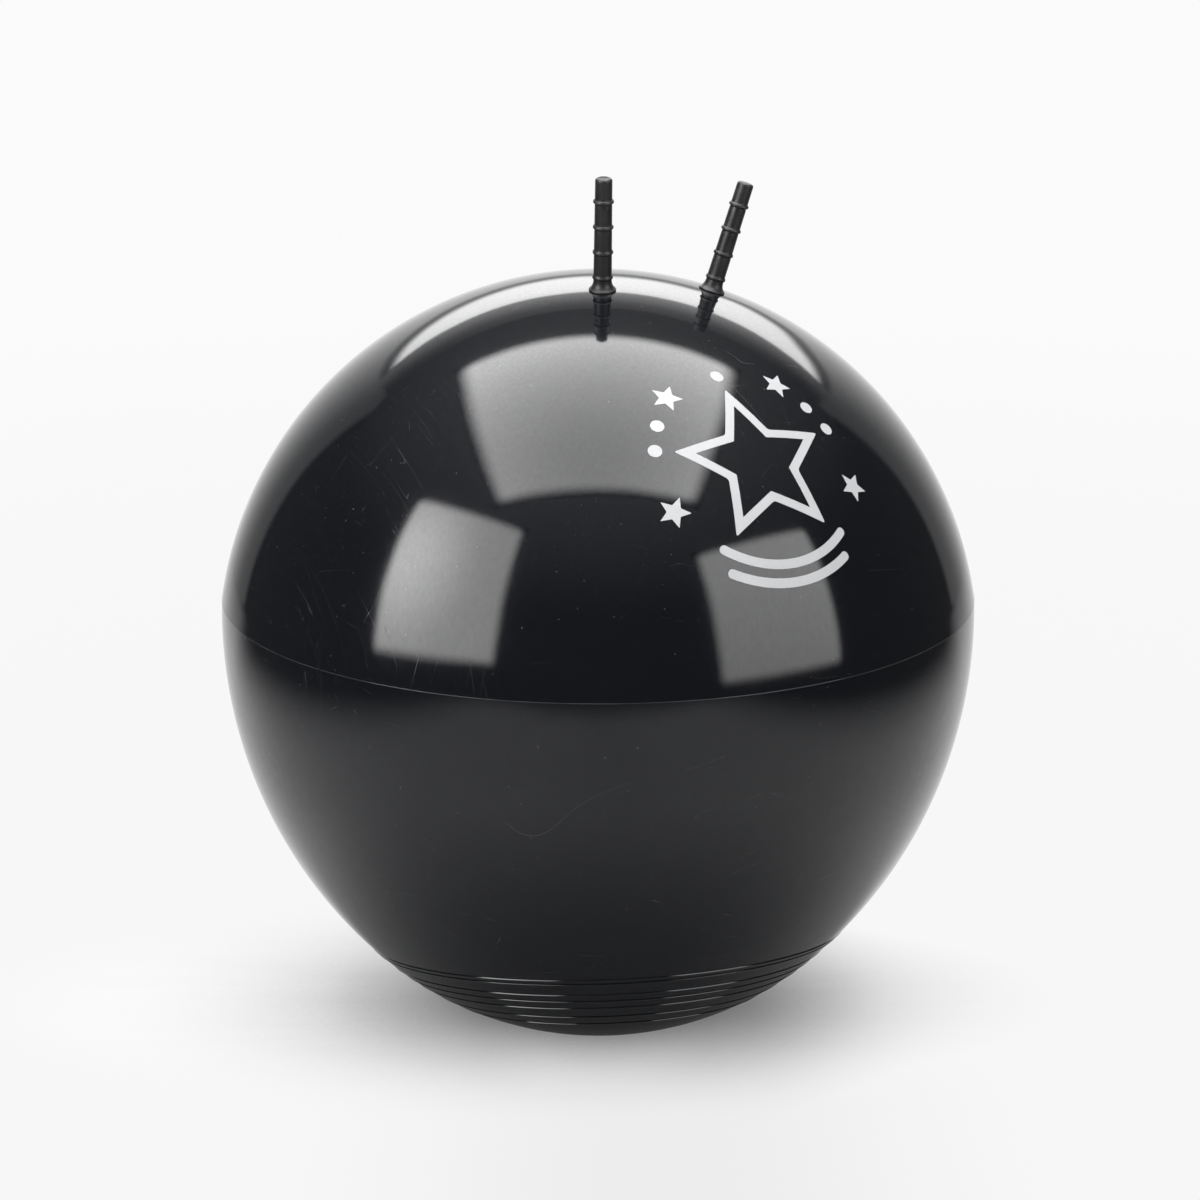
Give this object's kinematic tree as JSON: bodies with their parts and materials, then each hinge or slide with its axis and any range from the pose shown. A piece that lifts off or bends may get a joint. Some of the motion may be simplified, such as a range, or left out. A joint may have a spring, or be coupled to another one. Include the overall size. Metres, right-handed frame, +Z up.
{
  "type": "hopper ball",
  "caption": "Air-filled ball to sit and bounce on, with ringed horns to hold, a stepped base that stands flat, an air valve with a pull-out plug, and a printed star.",
  "frame": {"origin": "on the floor, at the centre of the flat of the foot and of the ball's bounding box", "axes": "+Z up through the ball, -Y to the printed front, +X to the right as seen from the front's viewer looking along +Y"},
  "size_m": [0.6014, 0.6014, 0.6955],
  "materials": {
    "skin": "glossy soft PVC, blue-black",
    "horn": "satin soft PVC, dark grey",
    "valve": "satin soft PVC, black",
    "plug": "satin soft PVC, dark grey",
    "ink": "silver-white screen-printing ink"
  },
  "bodies": {
    "ball": {"upper_shell": "skin", "lower_shell": "skin", "left_horn": "horn", "right_horn": "horn", "valve_seat": "valve", "print": "ink"},
    "plug": {"valve_plug": "plug"}
  },
  "joints": [
    {"name": "plug_pull", "type": "slide", "parent": "ball", "child": "plug", "axis": [0, 0.8192, 0.5736], "range_m": [0, 0.02]}
  ]
}
